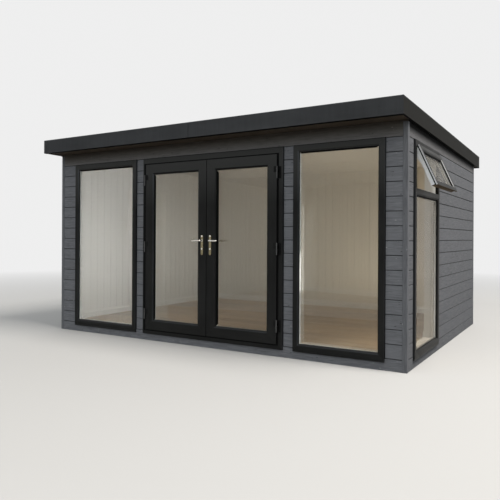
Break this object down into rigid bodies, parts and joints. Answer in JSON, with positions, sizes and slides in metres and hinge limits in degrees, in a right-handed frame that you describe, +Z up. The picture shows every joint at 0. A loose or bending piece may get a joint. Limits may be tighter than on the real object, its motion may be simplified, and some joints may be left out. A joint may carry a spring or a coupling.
{
  "type": "garden office pod",
  "caption": "Flat-roofed timber garden room with grey horizontal boarding, full-height windows, outward-opening glazed double doors and a side window with a top-hung vent.",
  "frame": {"origin": "centre of the base's underside at ground level", "axes": "+Z up, front faces -Y, +X to the right of someone who faces the front"},
  "size_m": [4.8979, 4.04, 2.4984],
  "materials": {
    "base_timber": "rough",
    "floor_oak": "satin",
    "grey_boards": "matt grained",
    "wall_core": "rough",
    "membrane": "matt",
    "soffit_board": "matt",
    "fascia_metal": "satin",
    "white_lining": "satin paint",
    "frame_black": "fine grained foil",
    "glazing": "clear",
    "hinge_black": "satin",
    "handle_chrome": "satin",
    "steel_fittings": "brushed"
  },
  "bodies": {
    "building": {"floor_base": "base_timber", "floor_boards": "floor_oak", "plinth_boards": "grey_boards", "front_wall_posts": "wall_core", "front_wall_header": "wall_core", "left_wall": "wall_core", "right_wall": "wall_core", "right_wall_header": "wall_core", "rear_wall": "wall_core", "front_cladding": "grey_boards", "left_cladding": "grey_boards", "right_cladding": "grey_boards", "rear_cladding": "grey_boards", "corner_trims": "grey_boards", "frieze_boards": "grey_boards", "roof_deck": "wall_core", "roof_covering": "membrane", "soffit": "soffit_board", "front_fascia": "fascia_metal", "rear_fascia": "fascia_metal", "side_fascias": "fascia_metal", "front_lining": "white_lining", "side_linings": "white_lining", "rear_lining": "white_lining", "ceiling_lining": "white_lining", "skirting_boards": "white_lining", "window_reveals": "white_lining", "front_window_frames": "frame_black", "front_window_glass": "glazing", "side_window_frame": "frame_black", "side_window_glass": "glazing", "vent_sash": "frame_black", "vent_stays": "steel_fittings", "door_frame": "frame_black", "door_frame_hinges": "hinge_black"},
    "left_door": {"left_door_leaf": "frame_black", "left_door_glass": "glazing", "left_door_hinges": "hinge_black", "left_door_plates": "handle_chrome"},
    "left_lever": {"left_door_lever": "handle_chrome"},
    "right_door": {"right_door_leaf": "frame_black", "right_door_glass": "glazing", "right_door_hinges": "hinge_black", "right_door_plates": "handle_chrome"},
    "right_lever": {"right_door_lever": "handle_chrome"}
  },
  "joints": [
    {"name": "left_door_swing", "type": "hinge", "parent": "building", "child": "left_door", "pos_m": [-0.813, -1.8, 1.12], "axis": [0, 0, -1], "range_deg": [0, 90]},
    {"name": "right_door_swing", "type": "hinge", "parent": "building", "child": "right_door", "pos_m": [0.988, -1.8, 1.12], "axis": [0, 0, 1], "range_deg": [0, 90]},
    {"name": "left_lever_turn", "type": "hinge", "parent": "left_door", "child": "left_lever", "pos_m": [0.032, -1.756, 1.203], "axis": [0, -1, 0], "range_deg": [0, 40], "stiffness_Nm_per_rad": 1.5, "springref_deg": -34.38},
    {"name": "right_lever_turn", "type": "hinge", "parent": "right_door", "child": "right_lever", "pos_m": [0.143, -1.756, 1.203], "axis": [0, 1, 0], "range_deg": [0, 40], "stiffness_Nm_per_rad": 1.5, "springref_deg": -34.38}
  ]
}
